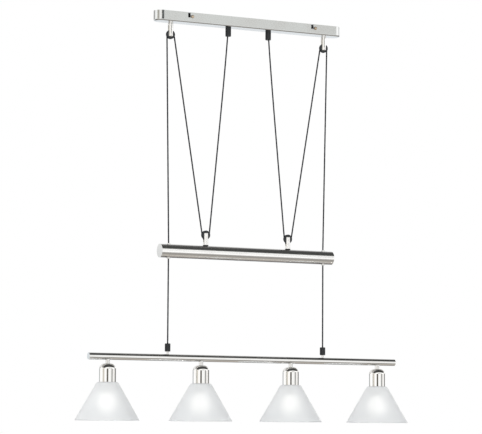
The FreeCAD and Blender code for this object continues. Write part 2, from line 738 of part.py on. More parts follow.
def cord_guides():
    guides, bushings = [], []
    low = f"({WEIGHT_TOP} - 2 * weight_radius - bushing_height)"
    length = "(2 * weight_radius + 2 * bushing_height)"
    seated = "bushing_height / 2"
    for side in SIDES.values():
        x = f"{side} * cord_spread"
        guide = rod(x, "0", low, "guide_radius", length)
        guides.append(cut(guide, [drill(x, "0", low, "guide_bore", length)]))
        for start in (low, f"{WEIGHT_TOP} - {seated}"):
            ferrule = rod(x, "0", start, "bushing_radius", f"bushing_height + {seated}")
            tube = rod_along("X", x, "0", "-weight_depth", "weight_radius", "4 * bushing_radius")
            hole = drill(x, "0", start, "guide_radius + bushing_play", f"bushing_height + {seated}")
            bushings.append(cut(ferrule, [tube, hole]))
    group("cord_guides", guides)
    group("guide_bushings", bushings)


# ---------------------------------------------------------------- lamp bar


def lamp_places():
    """The lamps' X, as formulas, from left to right."""
    return [f"({number} - {(LAMPS - 1) / 2}) * lamp_pitch" for number in range(LAMPS)]


def lamp_bar():
    length = "bar_length - 2 * bar_cap"
    tools = [drill_along("X", "0", "0", "-bar_depth", BAR_BORE, length)]
    for side in SIDES.values():
        x = f"{side} * cord_spread"
        tools.append(rod(x, "0", "-bar_depth", "bar_stem_radius + thread_play", f"bar_radius + {PAST}"))
    for x in lamp_places():
        tools.append(rod(x, "0", f"{BAR_BOTTOM} - {PAST}", "nipple_radius + thread_play",
                         f"bar_radius + {PAST}"))
    tube = rod_along("X", "0", "0", "-bar_depth", "bar_radius", length)
    node(cut(tube, tools), "lamp_bar")


def bar_end_caps():
    caps = []
    for side in SIDES.values():
        x = f"{side} * (bar_length / 2 - bar_cap / 2)"
        disc = rod_along("X", x, "0", "-bar_depth", "bar_radius", "bar_cap")
        x = f"{side} * (bar_length / 2 - (bar_cap + bar_plug) / 2)"
        plug = rod_along("X", x, "0", "-bar_depth", f"{BAR_BORE} - spigot_play", "bar_cap + bar_plug")
        caps.append(fuse([disc, plug]))
    group("bar_end_caps", caps)


def lamp_stems():
    stems, nuts = [], []
    for x in lamp_places():
        saddle = rod_along("X", x, "0", "-bar_depth", "bar_radius", "4 * stem_radius")
        collar = cut(rod(x, "0", CAP_TOP, "stem_radius", "stem_height + bar_radius / 2"), [saddle])
        low = f"({CAP_TOP} - {NUT_DEPTH} - holder_seat)"
        high = f"{BAR_BOTTOM} + nipple_root"
        pipe = rod(x, "0", low, "nipple_radius", f"({high}) - {low}")
        bore = drill(x, "0", low, "nipple_bore", f"({high}) - {low}")
        stems.append(cut(fuse([collar, pipe]), [bore]))
        nuts.append(nut(x, f"({CAP_TOP} - {NUT_DEPTH})", "nipple_nut_flats", "nipple_nut_height",
                        "nipple_radius + thread_play"))
    group("lamp_stems", stems)
    group("nipple_nuts", nuts)


def bar_wiring():
    """The wires inside the bar, down each lamp's pipe and up through the bar grips, as one branched run."""
    ends = lamp_places()
    runs = [rod_along("X", "0", "0", "-bar_depth", "wire_radius", f"{ends[-1]} - {ends[0]}")]
    depth = f"stem_height + {NUT_DEPTH} + holder_seat + bar_radius"
    for x in ends:
        runs.append(rod(x, "0", f"-bar_depth - ({depth})", "wire_radius", depth))
    for side in SIDES.values():
        x = f"{side} * cord_spread"
        runs.append(rod(x, "0", "-bar_depth", "cord_radius", f"{BAR_GRIP_TOP} + bar_depth"))
    node(fuse(runs), "bar_wiring")


# ---------------------------------------------------------------- lamps


def lamp_caps():
    bore = "nipple_radius + thread_play"
    for number, x in enumerate(lamp_places(), start=1):
        body = turned(f"lamp_cap_{number}", [
            (bore, "0"), ("cap_radius", "0", "cap_round"), ("cap_radius", "-cap_height"),
            ("cap_radius - cap_wall", "-cap_height"),
            ("cap_radius - cap_wall", "-cap_wall", "cap_round - cap_wall"), (bore, "-cap_wall"),
        ])
        node(place(body, x, "0", CAP_TOP), f"lamp_cap_{number}")


def lampholders():
    """Lampholders with a threaded skirt, which goes down through the glass to its ring."""
    top, bottom = f"(cap_height - {NUT_DEPTH})", "-holder_drop"
    contact = f"(base_length - bulb_drop + {NECK_HEIGHT})"
    seat = "nipple_radius + thread_play"
    holders = []
    for x in lamp_places():
        body = turned("lampholder", [
            ("0", f"{top} - holder_seat"), (seat, f"{top} - holder_seat"), (seat, top),
            ("holder_radius", top), ("holder_radius", "holder_skirt"), ("holder_thread", "holder_skirt"),
            ("holder_thread", bottom), ("socket_radius", bottom), ("socket_radius", contact),
            ("0", contact),
        ])
        holders.append(place(body, x, "0", CAP_RIM))
    group("lampholders", holders)


def shade_rings():
    rings = []
    bore = "holder_thread + thread_play"
    for x in lamp_places():
        low = f"({CAP_RIM} - shade_wall - ring_height)"
        ring = rod(x, "0", low, "ring_radius", "ring_height")
        rings.append(cut(ring, [drill(x, "0", low, bore, "ring_height")]))
    group("shade_rings", rings)


def glass_shades():
    """Cones of opal glass with an open end. The flat top and the cone have the same wall."""
    wall_across = f"(shade_wall * sqrt(shade_height ^ 2 + {SHADE_SPREAD} ^ 2) / shade_height)"
    inner_rim = f"(shade_rim - {wall_across})"
    inner_corner = f"{inner_rim} - (shade_height - shade_wall) * {SHADE_SPREAD} / shade_height"
    lip = f"min(shade_lip; {LIP_SHARE} * shade_wall)"
    for number, x in enumerate(lamp_places(), start=1):
        body = turned(f"glass_shade_{number}", [
            ("shade_neck", "0"), ("shade_corner", "0", "shade_round"),
            ("shade_rim", "-shade_height", lip), (inner_rim, "-shade_height", lip),
            (inner_corner, "-shade_wall", "shade_round - shade_wall"), ("shade_neck", "-shade_wall"),
        ])
        node(place(body, x, "0", CAP_RIM), f"glass_shade_{number}")


def bulbs():
    """Round bulbs: a hollow glass with a short neck, on a screw base whose tip meets the lampholder."""
    middle = f"{CAP_RIM} - bulb_drop"
    glasses, bases = [], []
    for x in lamp_places():
        outside = fuse([ball(x, "0", middle, "bulb_radius"), rod(x, "0", middle, "bulb_neck", NECK_HEIGHT)])
        inside = fuse([
            ball(x, "0", middle, "bulb_radius - bulb_wall"),
            rod(x, "0", middle, "bulb_neck - bulb_wall", NECK_HEIGHT),
        ])
        glasses.append(cut(outside, [inside]))
        base = turned("bulb_base", [
            ("0", "0"), ("base_radius", "0"), ("base_radius", "base_length - base_taper"),
            ("base_tip", "base_length"), ("0", "base_length"),
        ])
        bases.append(place(base, x, "0", f"{middle} + {NECK_HEIGHT}"))
    group("bulb_glasses", glasses)
    group("bulb_bases", bases)


# ---------------------------------------------------------------- cords and wires


def tube_along(points, radius):
    """A round tube along straight runs joined by tangent arcs, each as large as its two runs allow."""
    edges, start = [], points[0]
    for before, corner, after in zip(points, points[1:], points[2:]):
        coming, going = (corner - before), (after - corner)
        turn = coming.getAngle(going)
        reach = BEND_SHARE * min(coming.Length, going.Length)
        bend = reach / math.tan(turn / 2)
        print(f"wire bend of {math.degrees(turn):.1f} degrees, radius {bend:.1f} mm")
        first = corner - coming.normalize() * reach
        last = corner + going.normalize() * reach
        inward = (first + last) * 0.5 - corner
        middle = corner + inward.normalize() * (bend / math.cos(turn / 2) - bend)
        edges.append(Part.LineSegment(start, first).toShape())
        edges.append(Part.Arc(first, middle, last).toShape())
        start = last
    edges.append(Part.LineSegment(start, points[-1]).toShape())
    path = Part.Wire(edges)
    circle = Part.Circle(points[0], points[1] - points[0], radius)
    tube = path.makePipeShell([Part.Wire(circle.toShape())], True, False)
    share = tube.Volume / (math.pi * radius**2 * path.Length)
    print(f"tube of {path.Length:.1f} mm, volume {share:.4f} of its section times its length")
    return tube


def feature(label, shape):
    thing = doc.addObject("Part::Feature", "shaped")
    thing.Shape = shape
    return node(thing, label)


def canopy_wiring():
    """Two wires from each cord to the outer poles, and the earth wire from the middle pole to its screw."""
    core, level, block_end = size("core_radius"), size(WIRE_LEVEL), size("terminal_length") / 2
    start = size(f"{CANOPY_INSIDE} + grip_shank_length")
    tubes = []
    for end in SIDES.values():
        for pole in (-1, 1):
            foot = Vector(end * size("grip_spread"), pole * size("core_spread") / 2, start)
            bend = Vector(foot.x, foot.y, level)
            socket = Vector(end * block_end, pole * size("pole_pitch"), level)
            tubes.append(tube_along([foot, bend, socket], core))
    pole = Vector(block_end, 0, level)
    screw = Vector(size("earth_place - earth_head_radius - core_gap"), 0,
                   size("-bracket_sheet - core_radius"))
    bend = Vector((pole.x + screw.x) / 2, 0, level)
    tubes.append(tube_along([pole, bend, screw], core))
    feature("canopy_wiring", Part.makeCompound(tubes))


def tangent_side(centre, radius, point, side):
    """Where a straight cord from a point touches a pulley, on the pulley's left (-1) or right (1) side."""
    away = centre - point
    lean = math.asin(radius / away.Length)
    way = Vector(away).normalize()
    turn = math.degrees(lean) * side * (1 if way.z > 0 else -1)
    way = Rotation(Vector(0, 1, 0), turn).multVec(way)
    return point + way * math.sqrt(away.Length**2 - radius**2)


def crossing(low, high, radius, side):
    """The straight cord from one side of the lower pulley to the other side of the upper one."""
    away = high - low
    lean = math.degrees(math.asin(2 * radius / away.Length))
    way = Rotation(Vector(0, 1, 0), -lean * side).multVec(Vector(away).normalize())
    across = Vector(way.z, 0, -way.x) * radius * side
    return low + across, high - across


def bend_round(centre, radius, start, end, through, cord):
    """The cord on a pulley, from one point to another by way of a direction."""
    path = Part.Arc(start, centre + through * radius, end).toShape()
    print(f"cord on a pulley, radius {radius:.1f} mm, {math.degrees(path.Length / radius):.0f} degrees")
    way = path.tangentAt(path.FirstParameter)
    profile = Part.Wire(Part.Circle(start, way, cord).toShape())
    return Part.Wire([path]).makePipeShell([profile], True, False)


def cords():
    radius, cord = size("pulley_pitch"), size("cord_radius")
    inside = size(f"{CANOPY_INSIDE} + grip_shank_length")
    for name, side in SIDES.items():
        spread = side * size("cord_spread")
        ceiling = Vector(spread, 0, size(CEILING_AXLE))
        weight = Vector(side * size("weight_pulley_spread"), 0, size(WEIGHT_AXLE))
        grip = Vector(side * size("grip_spread"), 0, size(f"{CANOPY_FLOOR} - grip_length"))
        guide = Vector(spread, 0, size(f"{WEIGHT_TOP} + bushing_height"))
        seam = guide + Vector(0, 0, size("cord_seam"))
        bar = Vector(spread, 0, size(BAR_GRIP_TOP))
        inner_end = tangent_side(weight, radius, grip, -side)
        outer_low, outer_high = crossing(weight, ceiling, radius, side)
        drop_start = tangent_side(ceiling, radius, seam, side)
        stub = Part.makeCylinder(cord, inside - grip.z, grip)
        feature(f"cord_{name}_inner_leg", stub.fuse(straight(grip, inner_end, cord)).removeSplitter())
        low_bend = bend_round(weight, radius, inner_end, outer_low, Vector(0, 0, -1), cord)
        high_bend = bend_round(ceiling, radius, outer_high, drop_start, Vector(0, 0, 1), cord)
        feature(f"cord_{name}_weight_bend", low_bend)
        feature(f"cord_{name}_outer_leg", straight(outer_low, outer_high, cord))
        feature(f"cord_{name}_ceiling_bend", high_bend)
        feature(f"cord_{name}_drop", straight(drop_start, seam, cord))
        feature(f"cord_{name}_lower", straight(guide, bar, cord))


def straight(start, end, cord):
    print(f"straight cord of {(end - start).Length:.1f} mm")
    return Part.makeCylinder(cord, (end - start).Length, start, end - start)


# ---------------------------------------------------------------- the whole pendant


def check_and_write():
    doc.recompute()
    for thing in doc.Objects:
        if "Invalid" in thing.State or "Error" in thing.State:
            raise RuntimeError(f"{thing.Label} failed: {thing.State}")
    os.makedirs("parts", exist_ok=True)
    for thing in nodes:
        shape = thing.Shape
        if shape.isNull() or not shape.isValid() or not shape.Solids:
            raise RuntimeError(f"{thing.Label} has no valid solid")
        shape.exportStep(f"parts/{thing.Label}.step")
    print(f"{len(nodes)} sub-parts, {sum(len(thing.Shape.Solids) for thing in nodes)} solids")


fill_sheet()
canopy_shell()
mounting_bracket()
side_screws()
terminal_block()
earth_screw()
canopy_wiring()
ceiling_forks()
canopy_grips()
weight_tube()
weight_ends()
ballast_bar()
cord_guides()
weight_forks()
lamp_bar()
bar_end_caps()
bar_grips()
lamp_stems()
bar_wiring()
lamp_caps()
lampholders()
shade_rings()
glass_shades()
bulbs()
cords()
check_and_write()
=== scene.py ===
"""Looks of the rise and fall pendant: its finishes, its cords, the studio round it and the camera.

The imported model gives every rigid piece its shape. The cords are made here, because they run smoothly
round the pulleys, and their free stretches grow and shrink as the lamps are moved. Lengths are in metres,
in the pendant's own frame: the ceiling is at Z 0, the bar runs along X, and the front is at -Y.
"""

import json
import math

import bpy
from mathutils import Matrix, Vector
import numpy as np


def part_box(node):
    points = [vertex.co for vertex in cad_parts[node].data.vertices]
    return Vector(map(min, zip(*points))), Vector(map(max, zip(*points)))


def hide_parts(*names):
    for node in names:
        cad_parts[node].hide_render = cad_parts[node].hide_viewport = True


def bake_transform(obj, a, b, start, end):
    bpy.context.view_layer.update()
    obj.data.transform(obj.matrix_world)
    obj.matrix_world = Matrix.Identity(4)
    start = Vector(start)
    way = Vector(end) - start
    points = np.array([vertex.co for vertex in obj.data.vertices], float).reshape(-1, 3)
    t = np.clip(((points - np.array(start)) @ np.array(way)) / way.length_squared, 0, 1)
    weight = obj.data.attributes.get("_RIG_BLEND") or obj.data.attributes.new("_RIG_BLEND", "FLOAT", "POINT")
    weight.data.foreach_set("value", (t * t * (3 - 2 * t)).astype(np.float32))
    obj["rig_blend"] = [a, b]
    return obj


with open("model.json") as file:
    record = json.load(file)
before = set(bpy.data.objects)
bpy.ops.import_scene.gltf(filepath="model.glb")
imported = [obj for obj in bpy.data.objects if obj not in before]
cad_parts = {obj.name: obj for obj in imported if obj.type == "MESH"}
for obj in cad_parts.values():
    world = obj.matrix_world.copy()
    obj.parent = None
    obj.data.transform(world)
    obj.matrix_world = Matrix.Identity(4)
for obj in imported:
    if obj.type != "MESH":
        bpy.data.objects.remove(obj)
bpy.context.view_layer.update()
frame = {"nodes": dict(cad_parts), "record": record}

SIDES = {"left": -1, "right": 1}

# The camera, as fitted to the photograph
CAMERA_PLACE = Vector((-2.4340, -4.8137, -0.9768))
CAMERA_YAW = math.radians(26.669)  # from straight ahead (+Y) to the right
CAMERA_PITCH = math.radians(5.36)
CAMERA_ROLL = math.radians(0.36)
CAMERA_LENS = 172.07  # millimetres, as is the sensor's width
SENSOR_WIDTH = 36.0
NEAREST, FURTHEST = 0.05, 60.0

# The cords
CORD_RADIUS = 0.00175
CORD_STRANDS = 2
CORD_TWIST = 0.034  # length of one full turn of the strands
CORD_WAIST = 0.05  # how much thinner the sleeve is between the strands, as a share of its radius
PULLEY_PITCH = 0.009  # a pulley's axis to the middle of the cord on it
PULLEY_CORNERS = 4  # control points that carry a cord round a pulley
TAUT_REACH = 6 * 2 * CORD_RADIUS  # where a cord meets a pulley, to the control point beside it
RING_STEP = 0.0022
RING_SIDES = 14


# ---------------------------------------------------------------- nodes of a shader


# Sockets of a colour mix node, whose names are those of others too
MIX_SHARE, MIX_FIRST, MIX_SECOND, MIX_COLOUR = 0, 6, 7, 2


def feed(tree, socket, value):
    """Gives a socket a link or a value. A colour is given without its alpha."""
    if isinstance(value, bpy.types.NodeSocket):
        tree.links.new(value, socket)
    else:
        socket.default_value = (*value, 1.0) if socket.type == "RGBA" else value


def add(tree, kind, inputs=None, **settings):
    """A node with its settings, and a value or a link for each named or numbered input."""
    made = tree.nodes.new(kind)
    for name, value in settings.items():
        setattr(made, name, value)
    for name, value in (inputs or {}).items():
        feed(tree, made.inputs[name], value)
    return made


def connect(tree, node, **inputs):
    """Values and links for a node's inputs, with _ for a space in their names."""
    for name, value in inputs.items():
        feed(tree, node.inputs[name.replace("_", " ")], value)


def calc(tree, operation, *values, clamp=False):
    """The result of one operation on values and links."""
    made = add(tree, "ShaderNodeMath", dict(enumerate(values)), operation=operation, use_clamp=clamp)
    return made.outputs[0]


def fade(tree, value, start, end, low=0.0, high=1.0):
    """A value that goes smoothly from low to high while another goes from start to end."""
    inputs = {"Value": value, "From Min": start, "From Max": end, "To Min": low, "To Max": high}
    made = add(tree, "ShaderNodeMapRange", inputs, interpolation_type="SMOOTHSTEP")
    return made.outputs["Result"]


def ramp(tree, value, stops):
    """A colour that follows a value through (place, colour) stops."""
    made = add(tree, "ShaderNodeValToRGB", {"Fac": value})
    points = made.color_ramp.elements
    while len(points) < len(stops):
        points.new(0.5)
    for point, (place, colour) in zip(points, stops):
        point.position = place
        point.color = (*colour, 1.0)
    return made.outputs["Color"]


def mix(tree, share, first, second):
    """One colour, turning into another as the share goes from 0 to 1."""
    inputs = {MIX_SHARE: share, MIX_FIRST: first, MIX_SECOND: second}
    return add(tree, "ShaderNodeMix", inputs, data_type="RGBA", blend_type="MIX").outputs[MIX_COLOUR]


def new_group(name, inputs, outputs):
    """An empty node group with named inputs and their usual values, and named outputs."""
    tree = bpy.data.node_groups.new(name, "ShaderNodeTree")
    for socket, (kind, value) in inputs.items():
        made = tree.interface.new_socket(socket, in_out="INPUT", socket_type=kind)
        made.default_value = value
    for socket, kind in outputs.items():
        tree.interface.new_socket(socket, in_out="OUTPUT", socket_type=kind)
    return tree, tree.nodes.new("NodeGroupInput").outputs, tree.nodes.new("NodeGroupOutput").inputs


FLOAT, VECTOR, COLOR = "NodeSocketFloat", "NodeSocketVector", "NodeSocketColor"


def noise_over(tree, coordinate, scale, detail=2.0):
    """Soft random values from 0 to 1 over a coordinate. A larger scale makes them change faster."""
    inputs = {"Vector": coordinate, "Scale": scale, "Detail": detail}
    return add(tree, "ShaderNodeTexNoise", inputs).outputs["Fac"]


def brushing_group():
    """Fine lines that a brush has drawn: values that change fast across the stroke and slowly along it."""
    tree, given, out = new_group(
        "brushed_lines",
        {"Lines per Metre": (VECTOR, (8.0, 900.0, 900.0)), "Depth": (FLOAT, 0.2), "Middle": (FLOAT, 0.3)},
        {"Roughness": FLOAT, "Height": FLOAT},
    )
    place = add(tree, "ShaderNodeTexCoord").outputs["Object"]
    inputs = {0: place, 1: given["Lines per Metre"]}
    stretched = add(tree, "ShaderNodeVectorMath", inputs, operation="MULTIPLY").outputs[0]
    lines = noise_over(tree, stretched, 1.0)
    centred = calc(tree, "SUBTRACT", lines, 0.5)
    change = calc(tree, "MULTIPLY", centred, given["Depth"])
    tree.links.new(calc(tree, "ADD", given["Middle"], change), out["Roughness"])
    tree.links.new(lines, out["Height"])
    return tree


def handling_group():
    """Faint cloudy marks of handling, which change a colour and a roughness from place to place."""
    tree, given, out = new_group(
        "handling_marks",
        {"Colour": (COLOR, (0.8, 0.8, 0.8, 1.0)), "Worn Colour": (COLOR, (0.7, 0.7, 0.7, 1.0)),
         "Marks per Metre": (FLOAT, 18.0), "Roughness": (FLOAT, 0.2), "Spread": (FLOAT, 0.1)},
        {"Colour": COLOR, "Roughness": FLOAT},
    )
    place = add(tree, "ShaderNodeTexCoord").outputs["Object"]
    clouds = noise_over(tree, place, given["Marks per Metre"], 4.0)
    worn = fade(tree, clouds, 0.35, 0.7)
    tree.links.new(mix(tree, worn, given["Colour"], given["Worn Colour"]), out["Colour"])
    change = calc(tree, "MULTIPLY", worn, given["Spread"])
    tree.links.new(calc(tree, "ADD", given["Roughness"], change), out["Roughness"])
    return tree


def grain_group():
    """A fine even grain, as on moulded plastic, rubber or glass: a height and a shade."""
    tree, given, out = new_group(
        "fine_grain",
        {"Grains per Metre": (FLOAT, 1500.0), "Contrast": (FLOAT, 1.0)},
        {"Height": FLOAT, "Shade": FLOAT},
    )
    place = add(tree, "ShaderNodeTexCoord").outputs["Object"]
    grain = noise_over(tree, place, given["Grains per Metre"], 3.0)
    tree.links.new(grain, out["Height"])
    centred = calc(tree, "SUBTRACT", grain, 0.5)
    change = calc(tree, "MULTIPLY", centred, given["Contrast"])
    tree.links.new(calc(tree, "ADD", change, 0.5, clamp=True), out["Shade"])
    return tree


BRUSHED_LINES = brushing_group()
HANDLING_MARKS = handling_group()
FINE_GRAIN = grain_group()


def use(tree, group, **inputs):
    """A node group placed in a material, with its inputs set."""
    made = tree.nodes.new("ShaderNodeGroup")
    made.node_tree = group
    connect(tree, made, **inputs)
    return made.outputs


# ---------------------------------------------------------------- finishes


def new_material(name):
    """A material, its nodes and its shader."""
    material = bpy.data.materials.new(name)
    material.use_nodes = True
    tree = material.node_tree
    return material, tree, tree.nodes["Principled BSDF"]


def bump(tree, height, depth):
    """A normal for a surface whose height changes by that depth, in metres."""
    inputs = {"Height": height, "Distance": depth, "Strength": 1.0}
    return add(tree, "ShaderNodeBump", inputs).outputs[0]


def brushed_metal(name, colour, worn, lines, roughness, line_depth):
    """Metal with a satin finish, brushed along the direction that has few lines per metre."""
    material, tree, shader = new_material(name)
    marks = use(tree, HANDLING_MARKS, Colour=colour, Worn_Colour=worn, Roughness=roughness, Spread=0.04)
    brushed = use(tree, BRUSHED_LINES, Lines_per_Metre=lines, Depth=0.08, Middle=marks["Roughness"])
    connect(tree, shader, Base_Color=marks["Colour"], Roughness=brushed["Roughness"], Metallic=1.0,
            Normal=bump(tree, brushed["Height"], line_depth))
    return material


def polished_metal(name, colour, worn, roughness):
    """Plated metal with a bright finish and faint handling marks."""
    material, tree, shader = new_material(name)
    marks = use(tree, HANDLING_MARKS, Colour=colour, Worn_Colour=worn, Marks_per_Metre=40.0,
                Roughness=roughness, Spread=0.04)
    connect(tree, shader, Base_Color=marks["Colour"], Roughness=marks["Roughness"], Metallic=1.0)
    return material


def grained(name, colour, worn, grains, roughness, depth):
    """A moulded surface with a fine grain, and a second shade where it is handled."""
    material, tree, shader = new_material(name)
    grain = use(tree, FINE_GRAIN, Grains_per_Metre=grains, Contrast=0.8)
    marks = use(tree, HANDLING_MARKS, Colour=colour, Worn_Colour=worn, Marks_per_Metre=120.0,
                Roughness=roughness, Spread=0.12)
    connect(tree, shader, Base_Color=marks["Colour"], Roughness=marks["Roughness"],
            Normal=bump(tree, grain["Height"], depth))
    return material


def zinc_plated(name):
    """Zinc-plated sheet, with a faint spangle."""
    material, tree, shader = new_material(name)
    place = add(tree, "ShaderNodeTexCoord").outputs["Object"]
    cells = add(tree, "ShaderNodeTexVoronoi", {"Vector": place, "Scale": 220.0}).outputs["Color"]
    level = add(tree, "ShaderNodeSeparateColor", {"Color": cells}).outputs["Red"]
    colour = ramp(tree, level, [(0.0, (0.55, 0.57, 0.60)), (1.0, (0.72, 0.74, 0.76))])
    rough = fade(tree, level, 0.0, 1.0, 0.28, 0.42)
    connect(tree, shader, Base_Color=colour, Roughness=rough, Metallic=1.0)
    return material


def opal_glass(name):
    """Satin opal glass, milky and a little clear, so that the lit bulb shows through as a soft spot."""
    material, tree, shader = new_material(name)
    grain = use(tree, FINE_GRAIN, Grains_per_Metre=900.0, Contrast=0.5)
    marks = use(tree, HANDLING_MARKS, Colour=(0.965, 0.978, 0.985), Worn_Colour=(0.95, 0.965, 0.975),
                Marks_per_Metre=14.0, Roughness=0.35, Spread=0.04)
    connect(tree, shader, Base_Color=marks["Colour"], Roughness=marks["Roughness"],
            Normal=bump(tree, grain["Height"], 0.00002), Transmission_Weight=0.40, IOR=1.45)
    return material


def lit_glass(name):
    """The milky glass of a burning bulb, whose warm glow varies a little."""
    material, tree, shader = new_material(name)
    grain = use(tree, FINE_GRAIN, Grains_per_Metre=160.0, Contrast=0.15)
    glow = ramp(tree, grain["Shade"], [(0.0, (1.0, 0.93, 0.84)), (1.0, (1.0, 0.97, 0.92))])
    connect(tree, shader, Base_Color=(0.95, 0.94, 0.92), Roughness=0.3, Emission_Color=glow,
            Emission_Strength=1.4)
    return material


def braid(name):
    """Black woven sleeve of a cord, with crossing threads along it."""
    material, tree, shader = new_material(name)
    place = add(tree, "ShaderNodeTexCoord").outputs["Object"]
    threads = []
    for lean in (-1.0, 1.0):
        steep = add(tree, "ShaderNodeVectorMath", {0: place, 1: (lean * 1400.0, lean * 1400.0, 900.0)},
                    operation="MULTIPLY").outputs[0]
        wave = add(tree, "ShaderNodeTexWave", {"Vector": steep, "Scale": 1.0, "Distortion": 1.5},
                   bands_direction="DIAGONAL")
        threads.append(wave.outputs["Fac"])
    weave = calc(tree, "MAXIMUM", *threads)
    colour = ramp(tree, weave, [(0.0, (0.008, 0.009, 0.010)), (1.0, (0.034, 0.038, 0.042))])
    connect(tree, shader, Base_Color=colour, Roughness=fade(tree, weave, 0.0, 1.0, 0.8, 0.6),
            Normal=bump(tree, weave, 0.00006), Specular_IOR_Level=0.2)
    return material


# Lines per metre of a brushing along X: few along it and many across it
BRUSHING = (9.0, 1000.0, 1000.0)
FINE_BRUSHING = (10.0, 1100.0, 1100.0)

FINISHES = {
    "satin_nickel": brushed_metal(
        "satin_nickel", (0.84, 0.83, 0.81), (0.81, 0.80, 0.78),
        lines=FINE_BRUSHING, roughness=0.12, line_depth=0.000002),
    "polished_nickel": polished_metal(
        "polished_nickel", (0.88, 0.87, 0.85), (0.85, 0.835, 0.81), roughness=0.05),
    "brushed_steel": brushed_metal(
        "brushed_steel", (0.84, 0.835, 0.82), (0.81, 0.80, 0.785),
        lines=BRUSHING, roughness=0.15, line_depth=0.000001),
    "zinc_steel": zinc_plated("zinc_steel"),
    "brass": polished_metal("brass", (0.80, 0.62, 0.32), (0.68, 0.50, 0.24), roughness=0.25),
    "black_plastic": grained(
        "black_plastic", (0.009, 0.011, 0.013), (0.020, 0.023, 0.026),
        grains=2600.0, roughness=0.4, depth=0.00004),
    "black_rubber": grained(
        "black_rubber", (0.016, 0.016, 0.017), (0.032, 0.032, 0.033),
        grains=1800.0, roughness=0.6, depth=0.00006),
    "black_cord": braid("black_cord"),
    "white_plastic": grained(
        "white_plastic", (0.82, 0.82, 0.80), (0.76, 0.755, 0.73),
        grains=1200.0, roughness=0.4, depth=0.00003),
    "guide_steel": polished_metal(
        "guide_steel", (0.74, 0.74, 0.735), (0.64, 0.635, 0.62), roughness=0.2),
    "wire_plastic": grained(
        "wire_plastic", (0.30, 0.20, 0.12), (0.36, 0.26, 0.17),
        grains=1500.0, roughness=0.45, depth=0.00003),
    "opal_glass": opal_glass("opal_glass"),
    "bulb_glass": lit_glass("bulb_glass"),
    "bulb_base_metal": polished_metal(
        "bulb_base_metal", (0.78, 0.76, 0.70), (0.66, 0.63, 0.56), roughness=0.22),
}
# Pieces that look a little different from the rest of their slot: the canopy and the bar get darker copies
# of their nickel, which paint in shade, and the screws get a browned nickel of their own
SHADED_AND_OWN_FINISHES = {
    # The canopy's satin nickel, made darker than the same metal elsewhere: painted shade, so that its front
    # reads darker
    "canopy_shell": brushed_metal(
        "canopy_nickel_painted_shade", (0.62, 0.63, 0.625), (0.605, 0.605, 0.595),
        lines=FINE_BRUSHING, roughness=0.13, line_depth=0.0000008),
    # The bar's polished nickel, darker than the caps' though it is the same metal: painted shade on its grey
    # bands
    "lamp_bar": polished_metal(
        "bar_nickel_painted_shade", (0.80, 0.795, 0.78), (0.775, 0.765, 0.745), roughness=0.06),
    "bracket_side_screws": polished_metal(
        "browned_nickel", (0.58, 0.47, 0.36), (0.48, 0.38, 0.28), roughness=0.12),
}


def finish_nodes():
    """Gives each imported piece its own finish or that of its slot."""
    for part in frame["record"]["subparts"]:
        thing = frame["nodes"][part["node"]]
        thing.data.materials.clear()
        finish = SHADED_AND_OWN_FINISHES.get(part["node"], FINISHES[part["material_slot"]])
        thing.data.materials.append(finish)


# ---------------------------------------------------------------- cords


def middle(node):
    """The middle of a node's box."""
    low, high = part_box(node)
    return (low + high) / 2


def turned(vector, degrees):
    """The vector turned about +Y."""
    return Matrix.Rotation(math.radians(degrees), 3, "Y") @ vector


def touch_point(centre, point, side):
    """Where a straight cord from a point meets a pulley, on the pulley's left (-1) or right (1)."""
    away = centre - point
    lean = math.degrees(math.asin(PULLEY_PITCH / away.length))
    way = turned(away.normalized(), lean * side * (1 if away.z > 0 else -1))
    return point + way * math.sqrt(away.length**2 - PULLEY_PITCH**2)


def crossing(low, high, side):
    """The ends of the straight cord from one side of the lower pulley to the other of the upper one."""
    away = high - low
    lean = math.degrees(math.asin(2 * PULLEY_PITCH / away.length))
    way = turned(away.normalized(), -lean * side)
    across = Vector((way.z, 0, -way.x)) * PULLEY_PITCH * side
    return low + across, high - across


def round_pulley(centre, start, end, through):
    """Control points that carry a cord round a pulley from one touching point to the other."""
    first, last = start - centre, end - centre
    total = first.angle(last)
    total = total if (first + last).dot(through) > 0 else 2 * math.pi - total
    way = 1 if first.cross(through).y > 0 else -1
    step = math.degrees(total) / PULLEY_CORNERS
    reach = 1 / math.cos(math.radians(step / 2))
    angles = [way * step * (number + 0.5) for number in range(PULLEY_CORNERS)]
    return [centre + turned(first, angle) * reach for angle in angles]


def smooth_line(points):
    """Points along the smooth line that a route's control points give."""
    curve = bpy.data.curves.new("route", "CURVE")
    curve.dimensions = "3D"
    spline = curve.splines.new("NURBS")
    spline.points.add(len(points) - 1)
    for knot, point in zip(spline.points, points):
        knot.co = (*point, 1.0)
    spline.order_u = 3
    spline.use_endpoint_u = True
    spline.resolution_u = 40
    holder = bpy.data.objects.new("route", curve)
    bpy.context.scene.collection.objects.link(holder)
    mesh = bpy.data.meshes.new_from_object(holder.evaluated_get(bpy.context.evaluated_depsgraph_get()))
    line = [vertex.co.copy() for vertex in mesh.vertices]
    bpy.data.objects.remove(holder)
    bpy.data.curves.remove(curve)
    bpy.data.meshes.remove(mesh)
    return line


def evenly(line, step):
    """The line's points again, spaced evenly and about one step apart, with how far along each one is."""
    lengths = [0.0]
    for before, after in zip(line, line[1:]):
        lengths.append(lengths[-1] + (after - before).length)
    count = round(lengths[-1] / step)
    spaced, at = [], 0
    for number in range(count + 1):
        along = lengths[-1] * number / count
        while at < len(line) - 2 and lengths[at + 1] < along:
            at += 1
        share = (along - lengths[at]) / (lengths[at + 1] - lengths[at])
        spaced.append((line[at].lerp(line[at + 1], min(share, 1.0)), along))
    return spaced


